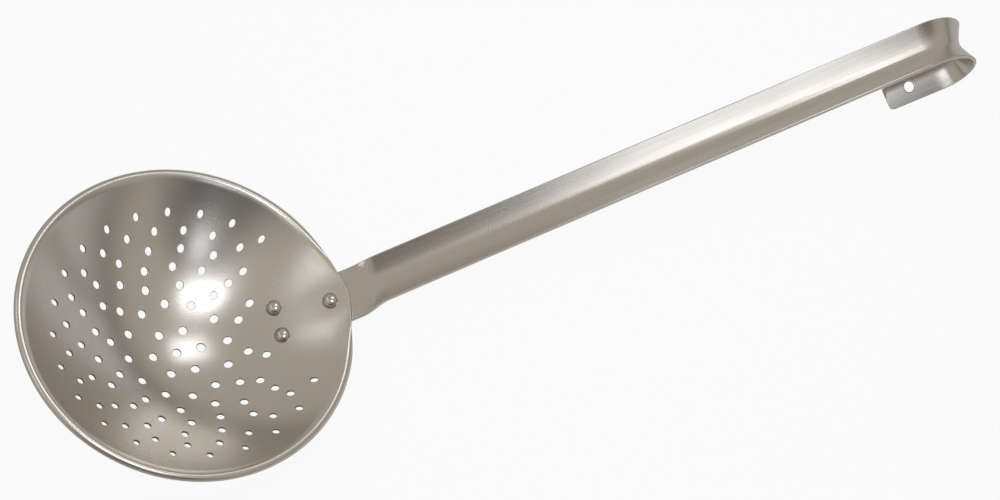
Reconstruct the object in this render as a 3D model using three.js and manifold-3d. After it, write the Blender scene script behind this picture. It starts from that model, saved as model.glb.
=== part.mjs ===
// Kitchen skimmer: a perforated bowl and a channel handle with a hook, held together by three rivets.
// Millimetres, +Z up. The skimmer lies on a table, resting on its inner rivets and on its hook.
// The pieces are drawn in the bowl's own frame, with the rim's crest at z = 0, the bowl's axis along Z
// and the handle towards +X, and the finished group is then laid down on the table.

import * as THREE from 'three';
import { mergeVertices } from 'three/addons/utils/BufferGeometryUtils.js';
import Module from 'manifold-3d';

const wasm = await Module();
wasm.setup();

// Bowl: sheet, depth from the rim's crest to the inside bottom, and how straight its wall runs
const rimRadius = 70;
const bowlDepth = 32.4;
const bowlSheet = 1;
const wallStraightness = 0.25;

// Rolled lip: radius over its top and how far it curls over
const lipRadius = 1.8;
const lipTurn = THREE.MathUtils.degToRad(126);

// Drain holes: rings counted inwards from the rim, spaced along the sheet. Drawing the bowl closed the
// sheet in around it, so the holes are narrower the nearer they are to the rim
const holeDiameter = 3.7;
const holeNarrowing = 0.55;
const narrowingPower = 1.8;
const outerRingInset = 15.6;
const ringPitch = 7.7;
const innerRingRadius = 10.4;
const holeSpacing = 13.6;
const holesPerSector = 6;
const ringTurns = [8.9, 0.8, -4, 1.3, 15.4, 0.8, 1.6].map(THREE.MathUtils.degToRad);
const ringCrowding = [2.2, 1.4, 2.2];
const patternShift = new THREE.Vector2(2.2, -0.9);
const barePatchOutset = 8;
const barePatchSide = 2;
const barePatchRadius = 42.9;

// Handle strip: thickness, flat tang under the bowl and channel from the rim to the hook
const strip = 1.5;
const tangWidth = 22.6;
const tangReach = 32;
const tangCorner = 4;
const channelWidth = 20.2;
const channelDepth = 4.2;
const channelRounding = 0.35;
const channelRun = 14;
const handleRise = THREE.MathUtils.degToRad(38.9);
const handleLength = 256.5;
const rimClearance = 1.8;

// Hook: inside radius, how far it turns, straight leg and hanging hole
const hookRadius = 10.1;
const hookTurn = THREE.MathUtils.degToRad(181.5);
const hookWidth = 18.1;
const hookDepth = 3.5;
const legLength = 22.9;
const legCorner = 2;
const hangHoleDiameter = 4;
const hangHoleInset = 10.5;
const hangHoleOffset = -3.4;

// Rivets: places measured in from the rim, and the clearance between touching pieces
const outerRivetInset = 6.9;
const innerRivetInset = 26.4;
const innerRivetSpacing = 12.7;
const rivetHeadDiameter = 6.8;
const rivetHeadHeight = 2;
const rivetShankDiameter = 3.4;
const rivetTailDiameter = 5.6;
const rivetTailHeight = 1.2;
const rivetTailChamfer = 0.4;
const fitGap = 0.3;

// Pressed seat: how far the flattening of the wall and of the lip fades out beyond the tang
const seatMargin = 2;
const seatFade = 12;
const seatLead = 10;
const lipMargin = 1;
const lipFade = 8;

// Facets and solving: sectors crowd towards the handle, cutters run past the sheet
const bowlSectors = 48;
const sectorCrowding = 0.4;
const wallSteps = 7;
const lipSteps = 4;
const holeSides = 6;
const rivetSides = 12;
const domeSteps = 4;
const acrossSteps = 8;
const tangSteps = 3;
const fadeSteps = 8;
const runSteps = 14;
const hookSteps = 16;
const lengthSteps = 100;
const solveSteps = 40;
const cutterOver = 2;
const mergeTolerance = 1e-4;

const bowlRoughness = 0.3;
const handleRoughness = 0.32;
const rivetRoughness = 0.18;
const steel = { color: 0xb3aca1, metalness: 1 };

// The wall meets the lip where the two run tangent, so their sizes are solved together
function solveWall() {
  const steepness = (2 + wallStraightness) / (1 + wallStraightness);
  let angle = Math.PI / 4;
  let radius = rimRadius;
  let rise = bowlDepth;
  for (let i = 0; i < solveSteps; i += 1) {
    radius = rimRadius - lipRadius * (1 + Math.sin(angle));
    rise = bowlDepth - lipRadius * (1 - Math.cos(angle));
    angle = Math.atan(steepness * rise / radius);
  }
  return { angle, radius, rise };
}

const wall = solveWall();

// Height and slope of the bowl's inside, before the seat is pressed
function wallHeight(r) {
  const q = r / wall.radius;
  return wall.rise * q * q * (1 + wallStraightness) / (1 + wallStraightness * q) - bowlDepth;
}

function wallAngle(r) {
  const q = r / wall.radius;
  const k = wallStraightness;
  return Math.atan(wall.rise / wall.radius * (1 + k) * q * (2 + k * q) / (1 + k * q) ** 2);
}

// The seat is the plane through the wall at the outer and the inner rivets
const outerRivetX = rimRadius - outerRivetInset;
const innerRivetX = rimRadius - innerRivetInset;
const tangEndX = rimRadius - tangReach;
const seatSlope = Math.atan2(wallHeight(outerRivetX) - wallHeight(innerRivetX), outerRivetX - innerRivetX);

function seatHeight(x) {
  return wallHeight(innerRivetX) + Math.tan(seatSlope) * (x - innerRivetX);
}

function seatShare(x, y) {
  const edge = tangWidth / 2 + seatMargin;
  const sideways = 1 - THREE.MathUtils.smoothstep(Math.abs(y), edge, edge + seatFade);
  return sideways * THREE.MathUtils.smoothstep(x, tangEndX - seatLead, tangEndX);
}

function lipShare(y) {
  const edge = tangWidth / 2 + lipMargin;
  return 1 - THREE.MathUtils.smoothstep(Math.abs(y), edge, edge + lipFade);
}

function pressedHeight(x, y) {
  const height = wallHeight(Math.hypot(x, y));
  return height + seatShare(x, y) * (seatHeight(x) - height);
}

// Solids for the cuts, and meshes back from them
function toSolid(geometry) {
  const bare = geometry.clone();
  bare.deleteAttribute('normal');
  bare.deleteAttribute('uv');
  const merged = mergeVertices(bare, mergeTolerance);
  const corners = merged.index.array;
  const kept = [];
  for (let i = 0; i < corners.length; i += 3) {
    const [a, b, c] = corners.slice(i, i + 3);
    if (a !== b && b !== c && c !== a) kept.push(a, b, c);
  }
  return new wasm.Manifold(new wasm.Mesh({
    numProp: 3,
    vertProperties: new Float32Array(merged.attributes.position.array),
    triVerts: new Uint32Array(kept),
  }));
}

function toGeometry(solid) {
  const mesh = solid.getMesh();
  const geometry = new THREE.BufferGeometry();
  geometry.setAttribute('position', new THREE.BufferAttribute(mesh.vertProperties, mesh.numProp));
  geometry.setIndex(new THREE.BufferAttribute(mesh.triVerts, 1));
  geometry.computeVertexNormals();
  return geometry;
}

function piece(name, geometry, roughness) {
  const mesh = new THREE.Mesh(geometry, new THREE.MeshStandardMaterial({ ...steel, roughness }));
  mesh.name = name;
  return mesh;
}

// A round cutter centred on `at` and running along `axis`
function roundBar(diameter, length, sides, at, axis) {
  const bar = new THREE.CylinderGeometry(diameter / 2, diameter / 2, length, sides);
  const turn = new THREE.Quaternion().setFromUnitVectors(new THREE.Vector3(0, 1, 0), axis);
  return bar.applyQuaternion(turn).translate(at.x, at.y, at.z);
}

// Rivets stand square to the seat, two side by side at the tang's end and one by the rim
const seatNormal = new THREE.Vector3(-Math.sin(seatSlope), 0, Math.cos(seatSlope));
const rivetPlaces = [
  { name: 'rivet_rim', x: outerRivetX, y: 0 },
  { name: 'rivet_inner_left', x: innerRivetX, y: innerRivetSpacing / 2 },
  { name: 'rivet_inner_right', x: innerRivetX, y: -innerRivetSpacing / 2 },
].map((place) => ({ ...place, at: new THREE.Vector3(place.x, place.y, seatHeight(place.x)) }));

function rivetHoles() {
  const length = 2 * (bowlSheet + fitGap + strip + cutterOver);
  const diameter = rivetShankDiameter + 2 * fitGap;
  return rivetPlaces.map(({ at }) => roundBar(diameter, length, rivetSides, at, seatNormal));
}

// One slice through the bowl's sheet: out along its outside, over the lip and back down the inside
function bowlSlice(turn) {
  const inside = [];
  const outside = [];
  const place = (list, r, z) => list.push(new THREE.Vector3(r * Math.cos(turn), r * Math.sin(turn), z));
  const placeBoth = (r, z, angle) => {
    place(inside, r, z);
    place(outside, r + bowlSheet * Math.sin(angle), z - bowlSheet * Math.cos(angle));
  };
  let r = 0;
  let z = 0;
  for (let i = 0; i <= wallSteps; i += 1) {
    r = wall.radius * i / wallSteps;
    z = pressedHeight(r * Math.cos(turn), r * Math.sin(turn));
    placeBoth(r, z, wallAngle(r));
  }
  const x = r * Math.cos(turn);
  const y = r * Math.sin(turn);
  const flat = x > 0 ? lipShare(y) : 0;
  const seatAngle = Math.atan(Math.tan(seatSlope) * Math.cos(turn));
  const start = THREE.MathUtils.lerp(wall.angle, seatAngle, seatShare(x, y));
  const stepTurn = lipTurn * (1 - flat) / lipSteps;
  const curledStep = 2 * lipRadius * Math.sin(lipTurn / lipSteps / 2);
  const flatStep = (rimRadius - wall.radius) / Math.cos(seatAngle) / lipSteps;
  const step = THREE.MathUtils.lerp(curledStep, flatStep, flat);
  for (let i = 0; i < lipSteps; i += 1) {
    const chord = start - stepTurn * (i + 0.5);
    r += step * Math.cos(chord);
    z += step * Math.sin(chord);
    placeBoth(r, z, start - stepTurn * (i + 1));
  }
  return [...outside, ...inside.reverse()];
}

// Length of the sheet from the bowl's centre out to a radius
function sheetLength(radius) {
  let length = 0;
  for (let i = 0; i < lengthSteps; i += 1) {
    length += radius / lengthSteps / Math.cos(wallAngle(radius * (i + 0.5) / lengthSteps));
  }
  return length;
}

function radiusAtLength(length) {
  let low = 0;
  let high = wall.radius;
  for (let i = 0; i < solveSteps; i += 1) {
    const middle = (low + high) / 2;
    if (sheetLength(middle) < length) low = middle;
    else high = middle;
  }
  return (low + high) / 2;
}

// Drain hole centres: rings from the rim inwards, one last ring of six and a hole in the middle
function drainHoles() {
  const radii = [];
  const sheet = sheetLength(wall.radius);
  const innermost = sheetLength(innerRingRadius) + ringPitch;
  for (let length = sheet - outerRingInset; length > innermost; length -= ringPitch) {
    radii.push(radiusAtLength(length));
  }
  radii.push(innerRingRadius);
  const places = [patternShift.clone()];
  radii.forEach((radius, ring) => {
    const groups = Math.max(1, Math.round(2 * Math.PI * radius / (holesPerSector * holeSpacing)));
    const count = groups * holesPerSector;
    const crowding = (ringCrowding[ring] ?? 0) / radius;
    for (let i = 0; i < count; i += 1) {
      const even = (ringTurns[ring] ?? 0) + 2 * Math.PI * i / count;
      const turn = even + crowding * Math.cos(even);
      const place = new THREE.Vector2(radius * Math.cos(turn), radius * Math.sin(turn));
      places.push(place.add(patternShift));
    }
  });
  const patch = new THREE.Vector2(rimRadius + barePatchOutset, barePatchSide);
  return places.filter((place) => place.distanceTo(patch) > barePatchRadius);
}

// A cutter square to the wall, narrowed around the bowl
function drainCutter({ x, y }) {
  const radius = Math.hypot(x, y);
  const lean = Math.sin(wallAngle(radius)) / radius;
  const axis = new THREE.Vector3(-x * lean, -y * lean, Math.cos(wallAngle(radius)));
  const around = new THREE.Vector3(-y / radius, x / radius, 0);
  const inward = new THREE.Vector3().crossVectors(axis, around);
  const narrowed = 1 - holeNarrowing * (radius / rimRadius) ** narrowingPower;
  const length = 2 * (bowlSheet + cutterOver);
  const bar = new THREE.CylinderGeometry(holeDiameter / 2, holeDiameter / 2, length, holeSides);
  const turn = new THREE.Matrix4().makeBasis(inward, axis, around);
  bar.scale(1, 1, narrowed).applyMatrix4(turn);
  return bar.translate(x, y, pressedHeight(x, y));
}

function makeBowl() {
  const outline = bowlSlice(Math.PI).map((point) => new THREE.Vector2(-point.x, point.z));
  const sheet = new THREE.LatheGeometry(outline, bowlSectors);
  const position = sheet.attributes.position;
  for (let sector = 0; sector <= bowlSectors; sector += 1) {
    const even = 2 * Math.PI * (sector % bowlSectors) / bowlSectors;
    const turn = even - sectorCrowding * Math.sin(2 * even) / 2;
    bowlSlice(turn).forEach((point, i) => {
      position.setXYZ(sector * outline.length + i, point.x, point.y, point.z);
    });
  }
  let solid = toSolid(sheet);
  for (const place of drainHoles()) solid = solid.subtract(toSolid(drainCutter(place)));
  for (const hole of rivetHoles()) solid = solid.subtract(toSolid(hole));
  return piece('bowl', toGeometry(solid), bowlRoughness);
}

// Stations along the handle: the middle of the strip's upper face, its direction and its section
function handleStations() {
  const stations = [];
  const drop = bowlSheet + fitGap;
  let x = tangEndX + drop * Math.sin(seatSlope);
  let z = seatHeight(tangEndX) - drop * Math.cos(seatSlope);
  let angle = seatSlope;
  const add = (half, depth, kept = 1) => stations.push({ x, z, angle, half, depth, kept });
  const advance = (length, turn = 0) => {
    const chord = turn === 0 ? length : 2 * length / turn * Math.sin(turn / 2);
    x += chord * Math.cos(angle + turn / 2);
    z += chord * Math.sin(angle + turn / 2);
    angle += turn;
  };
  // Flat tang with its corners cut off, up to a crease just past the rim
  const tangLength = (tangReach + rimClearance) / Math.cos(seatSlope);
  const tangStep = (tangLength - tangCorner) / tangSteps;
  add(tangWidth / 2 - tangCorner, 0);
  advance(tangCorner);
  add(tangWidth / 2, 0);
  for (let i = 1; i < tangSteps; i += 1) {
    advance(tangStep);
    add(tangWidth / 2, 0);
  }
  advance(tangStep);
  angle = (seatSlope + handleRise) / 2;
  add(tangWidth / 2, 0);
  angle = handleRise;
  // The channel fades in from the crease and then narrows slowly to the hook
  const section = (length) => {
    const share = THREE.MathUtils.smoothstep(length, 0, channelRun);
    const along = length / handleLength;
    const formedHalf = THREE.MathUtils.lerp(channelWidth, hookWidth, along) / 2;
    const formedDepth = THREE.MathUtils.lerp(channelDepth, hookDepth, along);
    add(THREE.MathUtils.lerp(tangWidth / 2, formedHalf, share), formedDepth * share);
  };
  for (let i = 1; i <= fadeSteps; i += 1) {
    advance(channelRun / fadeSteps);
    section(channelRun * i / fadeSteps);
  }
  const runLength = handleLength - channelRun;
  for (let i = 1; i <= runSteps; i += 1) {
    advance(runLength / runSteps);
    section(channelRun + runLength * i / runSteps);
  }
  // Hook: the strip turns down and back under itself, then runs out in a short leg
  const outerRadius = hookRadius + strip;
  for (let i = 1; i <= hookSteps; i += 1) {
    advance(outerRadius * hookTurn / hookSteps, -hookTurn / hookSteps);
    add(hookWidth / 2, hookDepth);
  }
  advance(legLength - legCorner);
  add(hookWidth / 2, hookDepth);
  advance(legCorner);
  add(hookWidth / 2 - legCorner, hookDepth, 1 - 2 * legCorner / hookWidth);
  return stations;
}

// The channel has two straight sides and a rounded middle: its height and its slope across, where a
// share of 1 is the strip's edge
const channelReach = Math.hypot(1, channelRounding) - channelRounding;

function channelLift(share) {
  return (Math.hypot(share, channelRounding) - channelRounding) / channelReach;
}

function channelSlope(share) {
  return share / Math.hypot(share, channelRounding) / channelReach;
}

// Points round one section of the strip: across its upper face and back along its underside. A section
// at a cut corner keeps a share of the strip's width
function stripSection({ x, z, angle, half, depth, kept }) {
  const upper = [];
  const under = [];
  const place = (list, y, lift) => {
    list.push(new THREE.Vector3(x - lift * Math.sin(angle), y, z + lift * Math.cos(angle)));
  };
  for (let i = 0; i <= acrossSteps; i += 1) {
    const share = 2 * i / acrossSteps - 1;
    const y = share * half;
    const lift = depth * channelLift(share * kept);
    const tilt = Math.atan(depth * kept / half * channelSlope(share * kept));
    place(upper, y, lift);
    place(under, y + strip * Math.sin(tilt), lift - strip * Math.cos(tilt));
  }
  return [...upper, ...under.reverse()];
}

// A closed solid through a row of sections that have the same number of points
function loft(sections) {
  const count = sections[0].length;
  const corners = [];
  for (let i = 0; i + 1 < sections.length; i += 1) {
    for (let j = 0; j < count; j += 1) {
      const a = i * count + j;
      const b = i * count + (j + 1) % count;
      corners.push(a, a + count, b, b, a + count, b + count);
    }
  }
  const last = (sections.length - 1) * count;
  for (let j = 0; j + 1 < count / 2; j += 1) {
    const k = count - 1 - j;
    corners.push(j, j + 1, k, j + 1, k - 1, k);
    corners.push(last + j, last + k, last + j + 1, last + j + 1, last + k, last + k - 1);
  }
  const geometry = new THREE.BufferGeometry().setFromPoints(sections.flat());
  geometry.setIndex(corners);
  return geometry;
}

function makeHandle() {
  const stations = handleStations();
  let solid = toSolid(loft(stations.map(stripSection)));
  for (const hole of rivetHoles()) solid = solid.subtract(toSolid(hole));
  const end = stations[stations.length - 1];
  const at = new THREE.Vector3(
    end.x - hangHoleInset * Math.cos(end.angle),
    hangHoleOffset,
    end.z - hangHoleInset * Math.sin(end.angle),
  );
  const axis = new THREE.Vector3(-Math.sin(end.angle), 0, Math.cos(end.angle));
  const length = 2 * (strip + hookDepth);
  solid = solid.subtract(toSolid(roundBar(hangHoleDiameter, length, rivetSides, at, axis)));
  return piece('handle', toGeometry(solid), handleRoughness);
}

// Rivet drawn about its own axis: flat tail below, shank, and a domed head inside the bowl
function makeRivet({ name, at }) {
  const headFloor = fitGap;
  const tailTop = -(bowlSheet + strip + 2 * fitGap);
  const outline = [
    new THREE.Vector2(0, tailTop - rivetTailHeight),
    new THREE.Vector2(rivetTailDiameter / 2 - rivetTailChamfer, tailTop - rivetTailHeight),
    new THREE.Vector2(rivetTailDiameter / 2, tailTop - rivetTailHeight + rivetTailChamfer),
    new THREE.Vector2(rivetTailDiameter / 2, tailTop),
    new THREE.Vector2(rivetShankDiameter / 2, tailTop),
    new THREE.Vector2(rivetShankDiameter / 2, headFloor),
  ];
  for (let i = 0; i <= domeSteps; i += 1) {
    const turn = Math.PI / 2 * i / domeSteps;
    const radius = i === domeSteps ? 0 : rivetHeadDiameter / 2 * Math.cos(turn);
    outline.push(new THREE.Vector2(radius, headFloor + rivetHeadHeight * Math.sin(turn)));
  }
  const rivet = piece(name, new THREE.LatheGeometry(outline, rivetSides), rivetRoughness);
  rivet.position.copy(at);
  rivet.quaternion.setFromUnitVectors(new THREE.Vector3(0, 1, 0), seatNormal);
  return rivet;
}

// Lay the tool down: turn it about Y until its bowl end and its hook end both touch the table
function restingTurn(tool) {
  tool.updateMatrixWorld(true);
  const middleX = rimRadius + handleLength / 2 * Math.cos(handleRise);
  const bowlEnd = [];
  const hookEnd = [];
  const point = new THREE.Vector3();
  tool.traverse((part) => {
    if (!part.isMesh) return;
    const position = part.geometry.attributes.position;
    for (let i = 0; i < position.count; i += 1) {
      point.fromBufferAttribute(position, i).applyMatrix4(part.matrixWorld);
      (point.x > middleX ? hookEnd : bowlEnd).push(point.clone());
    }
  });
  const lowest = (points, turn) => Math.min(
    ...points.map((p) => p.z * Math.cos(turn) - p.x * Math.sin(turn)),
  );
  let low = 0;
  let high = Math.PI / 2;
  for (let i = 0; i < solveSteps; i += 1) {
    const middle = (low + high) / 2;
    if (lowest(hookEnd, middle) > lowest(bowlEnd, middle)) low = middle;
    else high = middle;
  }
  return (low + high) / 2;
}

const tool = new THREE.Group();
tool.add(makeBowl(), makeHandle(), ...rivetPlaces.map(makeRivet));
tool.rotation.y = restingTurn(tool);

// The origin is under the middle of the skimmer, on the table
const skimmer = new THREE.Group();
skimmer.add(tool);
skimmer.updateMatrixWorld(true);
const box = new THREE.Box3().setFromObject(skimmer, true);
const middle = box.getCenter(new THREE.Vector3());
tool.position.set(-middle.x, -middle.y, -box.min.z);

export default skimmer;
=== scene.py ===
"""Kitchen skimmer: a perforated steel bowl, a channel handle with a hook, and three rivets.

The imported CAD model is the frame. Each piece is drawn again as a fine sheet or turned part in
the bowl's own frame, with the rim's crest at z = 0, the bowl's axis along Z and the handle
towards +X, and is then laid down where the frame's rivets are.
"""

import math
from bisect import bisect_left

import bpy
from bpy.props import FloatProperty, FloatVectorProperty, PointerProperty
from mathutils import Matrix, Vector
from mathutils.geometry import delaunay_2d_cdt


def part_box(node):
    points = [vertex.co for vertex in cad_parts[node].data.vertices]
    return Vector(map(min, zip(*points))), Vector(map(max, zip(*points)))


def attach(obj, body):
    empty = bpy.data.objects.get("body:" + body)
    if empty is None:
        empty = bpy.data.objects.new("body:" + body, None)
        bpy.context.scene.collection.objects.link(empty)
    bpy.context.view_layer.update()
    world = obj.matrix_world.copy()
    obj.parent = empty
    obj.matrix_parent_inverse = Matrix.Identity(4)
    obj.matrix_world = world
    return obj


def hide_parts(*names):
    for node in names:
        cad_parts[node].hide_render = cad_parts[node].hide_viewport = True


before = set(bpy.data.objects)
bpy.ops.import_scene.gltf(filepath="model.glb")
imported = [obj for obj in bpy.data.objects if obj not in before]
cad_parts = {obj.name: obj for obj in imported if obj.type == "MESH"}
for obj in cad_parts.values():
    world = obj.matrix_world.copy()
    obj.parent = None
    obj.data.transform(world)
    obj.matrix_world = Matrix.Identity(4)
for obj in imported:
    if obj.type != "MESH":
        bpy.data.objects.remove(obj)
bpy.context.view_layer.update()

bl_info = {
    "name": "Kitchen skimmer",
    "version": (1, 0, 0),
    "blender": (4, 5, 0),
    "location": "3D View > Sidebar > Skimmer",
    "description": "Dresses the skimmer's CAD frame in brushed and polished steel",
    "category": "Object",
}

MM = 0.001
BODY = "root"

# Fineness of the sheets, the rivets and the floor
HOLE_POINTS = 28
RIVET_SIDES = 56
BOWL_SECTORS = 300
FLOOR_SIDES = 96
LENGTH_STEPS = 600
SOLVE_STEPS = 40
EASE_STEPS = 6

# Triangulation: triangles inside the outline, and how near points are the same one
TRIANGLES_INSIDE = 1
SAME_POINT = 1e-9

# A bend below this is straight, and a rivet's hole is this much wider than its shank
STRAIGHT = 1e-9
BORE_PLAY = 0.1 * MM

# Drain hole rings, from the rim inwards: each ring's turn, and how it crowds to the handle
RING_TURNS = [math.radians(turn) for turn in (8.9, 0.8, -4.0, 1.3, 15.4, 0.8, 1.6)]
RING_CROWDING = [2.2 * MM, 1.4 * MM, 2.2 * MM]
RING_SECTORS = 6

# Patterns in the steel, in noise cells per metre
BOWL_GRAIN_ACROSS, BOWL_GRAIN_ROUND, BOWL_GRAIN_UP = 2200.0, 45.0, 90.0
HANDLE_GRAIN_ACROSS, HANDLE_GRAIN_ALONG = 2600.0, 18.0
DRAW_LINES_ACROSS, DRAW_LINES_ALONG, DRAW_LINES_UP = 620.0, 4.5, 4.0
BOWL_CLOUDS, HANDLE_CLOUDS, RIVET_FILM, RIVET_MARKS = 42.0, 30.0, 350.0, 900.0

# How far the patterns dull the steel and change its roughness, from the middle of the noise
NOISE_MIDDLE, CLOUD_START = 0.5, 0.35
BOWL_CLOUD_DULL, BOWL_CLOUD_ROUGH = 1.7, 0.15
BOWL_GRAIN_DULL, BOWL_GRAIN_ROUGH = 0.3, 0.06
HANDLE_GRAIN_DULL, HANDLE_GRAIN_ROUGH = 0.6, 0.14
HANDLE_CLOUD_ROUGH, DRAW_LINE_DULL, RIVET_FILM_ROUGH = 0.08, 1.2, 0.12
GRAIN_RELIEF, DRAW_LINE_RELIEF = 0.8, 1.2
# Worn edges are smoother by this, and the punched walls of the holes rougher
WORN_SHINE, BORE_ROUGHNESS = 0.08, 0.2


def length(name, description, millimetres):
    """A size property, given in millimetres and kept in metres."""
    return FloatProperty(
        name=name,
        description=description,
        default=millimetres * MM,
        unit="LENGTH",
        precision=5,
    )


def angle(name, description, degrees):
    """An angle property, given in degrees and kept in radians."""
    return FloatProperty(
        name=name,
        description=description,
        default=math.radians(degrees),
        subtype="ANGLE",
    )


def share(name, description, default):
    """A property that holds a share or a plain factor."""
    return FloatProperty(name=name, description=description, default=default, subtype="FACTOR")


def colour(name, description, default):
    """A linear colour property."""
    return FloatVectorProperty(
        name=name,
        description=description,
        default=default,
        subtype="COLOR",
        size=3,
        min=0.0,
        max=1.0,
    )


class SkimmerBowlSizes(bpy.types.PropertyGroup):
    """Sizes of the bowl, its rolled lip, its drain holes and the handle's pressed seat."""

    rim_radius: length("Rim radius", "From the axis to the outside of the frame's lip", 70.0)
    rim_shave: length("Rim shave", "How far the visible lip stays inside the frame's", 0.12)
    depth: length("Depth", "From the rim's crest to the inside bottom", 32.4)
    sheet: length("Sheet", "Thickness of the bowl's sheet", 1.0)
    straightness: share("Straightness", "How straight the wall runs towards the rim", 0.25)
    wall_radius: length("Wall radius", "Radius up to which the wall is drawn", 67.0276)
    wall_rise: length("Wall rise", "Height of the wall at that radius", 31.9658)
    lift_start: length("Lift start", "Radius where the wall starts to steepen to the lip", 48.0)
    rim_lift: length("Rim lift", "How far the steeper wall rises at the rim", 0.75)
    flare: length("Flare", "Length of the gentle flare before the curl", 2.5)
    flare_turn: angle("Flare turn", "How far the flare opens out", 12.0)
    curl_radius: length("Curl radius", "Radius over the top of the rolled lip", 2.1)
    curl_turn: angle("Curl turn", "How far the lip curls over after the flare", 108.0)
    edge_round: length("Edge rounding", "Rounding along the cut edges of the sheet", 0.22)
    hole_diameter: length("Drain hole diameter", "Diameter of the drain holes", 3.7)
    hole_narrowing: share("Hole narrowing", "How much a hole at the rim would narrow", 0.55)
    narrowing_power: FloatProperty(
        name="Narrowing power",
        description="How late the holes narrow towards the rim",
        default=1.8,
    )
    outer_ring_inset: length("Outer ring inset", "Sheet beyond the first ring of holes", 15.75)
    ring_pitch: length("Ring pitch", "Sheet from one ring of holes to the next", 7.7)
    inner_ring_radius: length("Inner ring radius", "Radius of the last ring of holes", 10.4)
    hole_spacing: length("Hole spacing", "Spacing of the holes round a ring", 13.6)
    pattern_shift_x: length("Pattern shift X", "Shift of the holes towards the handle", 2.2)
    pattern_shift_y: length("Pattern shift Y", "Shift of the holes sideways", -0.9)
    bare_outset: length("Bare patch outset", "Middle of the bare patch, past the rim", 8.0)
    bare_side: length("Bare patch side", "Middle of the bare patch, sideways", 2.0)
    bare_radius: length("Bare patch radius", "Radius of the patch without holes", 42.9)
    seat_flat: length("Seat flat", "Half width of the flat middle of the seat", 4.0)
    seat_fade: length("Seat fade", "Width over which the seat runs into the wall", 18.0)
    seat_start: length("Seat start", "Where the seat starts to form, in from the rim", 30.0)
    seat_full: length("Seat full", "Where the seat is flat, in from the rim", 4.0)
    rim_draw: length("Rim draw", "How far the rim is drawn in where the lip runs out", 1.2)
    lip_fade_left: length("Left lip fade", "Handle's middle to the full lip, left", 34.0)
    lip_fade_right: length("Right lip fade", "Handle's middle to the full lip, right", 27.0)


class SkimmerHandleSizes(bpy.types.PropertyGroup):
    """Sizes of the handle's strip, its tang, its channel and its hook."""

    strip: length("Strip", "Thickness of the handle's strip", 1.5)
    edge_round: length("Edge rounding", "Rounding along the strip's edges", 0.35)
    tang_width: length("Tang width", "Width of the flat tang under the bowl", 22.6)
    tang_reach: length("Tang reach", "How far the tang reaches in from the rim", 32.0)
    tang_corner: length("Tang corner", "Rounding of the tang's corners", 4.0)
    rim_clearance: length("Rim clearance", "From the rim to the crease", 1.8)
    crease: length("Crease", "Length over which the strip bends at the crease", 10.0)
    rise: angle("Rise", "Slope of the handle against the rim", 38.9)
    run: length("Run", "Length of the channel from the crease to the hook", 256.5)
    channel_width: length("Channel width", "Width of the channel by the rim", 20.2)
    channel_depth: length("Channel depth", "Depth of the channel by the rim", 4.2)
    channel_rounding: share("Channel rounding", "How round the bottom of the channel is", 0.35)
    channel_fade: length("Channel fade", "Length over which the channel forms", 14.0)
    hook_radius: length("Hook radius", "Inside radius of the hook", 10.1)
    hook_turn: angle("Hook turn", "How far the hook turns back", 181.5)
    hook_ease: length("Hook ease", "Length over which the strip eases to the hook", 7.0)
    hook_width: length("Hook width", "Width of the strip in the hook", 18.1)
    hook_depth: length("Hook depth", "Depth of the channel in the hook", 3.5)
    leg: length("Leg", "Straight leg after the hook", 22.9)
    leg_corner: length("Leg corner", "Rounding of the leg's corners", 2.0)
    hang_hole_diameter: length("Hanging hole", "Diameter of the hanging hole", 4.0)
    hang_hole_inset: length("Hanging hole inset", "From the leg's end to the hole", 10.5)
    hang_hole_offset: length("Hanging hole offset", "From the leg's middle to the hole", -3.4)


class SkimmerRivetSizes(bpy.types.PropertyGroup):
    """Sizes and places of the rivets, and the gap that the frame leaves between its pieces."""

    outer_inset: length("Rim rivet inset", "From the rim to the rim rivet", 6.9)
    inner_inset: length("Inner rivet inset", "From the rim to the inner rivets", 26.4)
    inner_spacing: length("Inner rivet spacing", "Between the two inner rivets", 12.7)
    head_diameter: length("Head diameter", "Diameter of the domed head", 6.8)
    head_height: length("Head height", "Height of the dome", 2.0)
    shank_diameter: length("Shank diameter", "Diameter of the shank", 3.4)
    tail_diameter: length("Tail diameter", "Diameter of the closed tail", 5.6)
    tail_height: length("Tail height", "Height of the closed tail", 1.2)
    tail_chamfer: length("Tail chamfer", "Chamfer round the tail", 0.4)
    fit_gap: length("Fit gap", "Gap that the frame leaves between touching pieces", 0.3)
    seating: length("Seating", "Gap left under the visible head and tail", 0.03)


class SkimmerFinish(bpy.types.PropertyGroup):
    """Colours and finish of the steel, with the painted shade for the walls of the holes."""

    steel: colour("Steel", "Colour of the satin steel", (0.63, 0.6, 0.555))
    steel_dull: colour("Dull steel", "Colour where the steel is duller", (0.59, 0.555, 0.505))
    # Painted shade: the bore colour darkens the walls inside the holes
    bore: colour("Bore", "Colour of the punched walls of the holes", (0.17, 0.155, 0.135))
    rivet: colour("Rivet steel", "Colour of the polished rivets", (0.55, 0.525, 0.485))
    bowl_roughness: share("Bowl roughness", "Roughness of the satin bowl", 0.25)
    handle_roughness: share("Handle roughness", "Roughness of the brushed handle", 0.26)
    rivet_roughness: share("Rivet roughness", "Roughness of the polished rivets", 0.16)


class SkimmerStage(bpy.types.PropertyGroup):
    """Floor, light and lens."""

    floor: colour("Floor", "Colour of the pale floor", (0.75, 0.75, 0.75))
    surround: colour("Surround", "Colour of the even light all round", (0.506, 0.47, 0.419))
    lamp: colour("Lamp", "Colour of the lamps", (0.89, 0.935, 1.0))
    floor_radius: length("Floor radius", "Radius of the floor", 20000.0)
    lens: FloatProperty(
        name="Lens",
        description="Focal length of the camera",
        default=77.89,
        unit="CAMERA",
    )


def smooth_share(value, low, high):
    """0 up to low, 1 from high, and a smooth step between."""
    part = min(max((value - low) / (high - low), 0.0), 1.0)
    return part * part * (3.0 - 2.0 * part)


def mix(low, high, part):
    """The number that lies that part of the way from low to high."""
    return low + (high - low) * part


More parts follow.
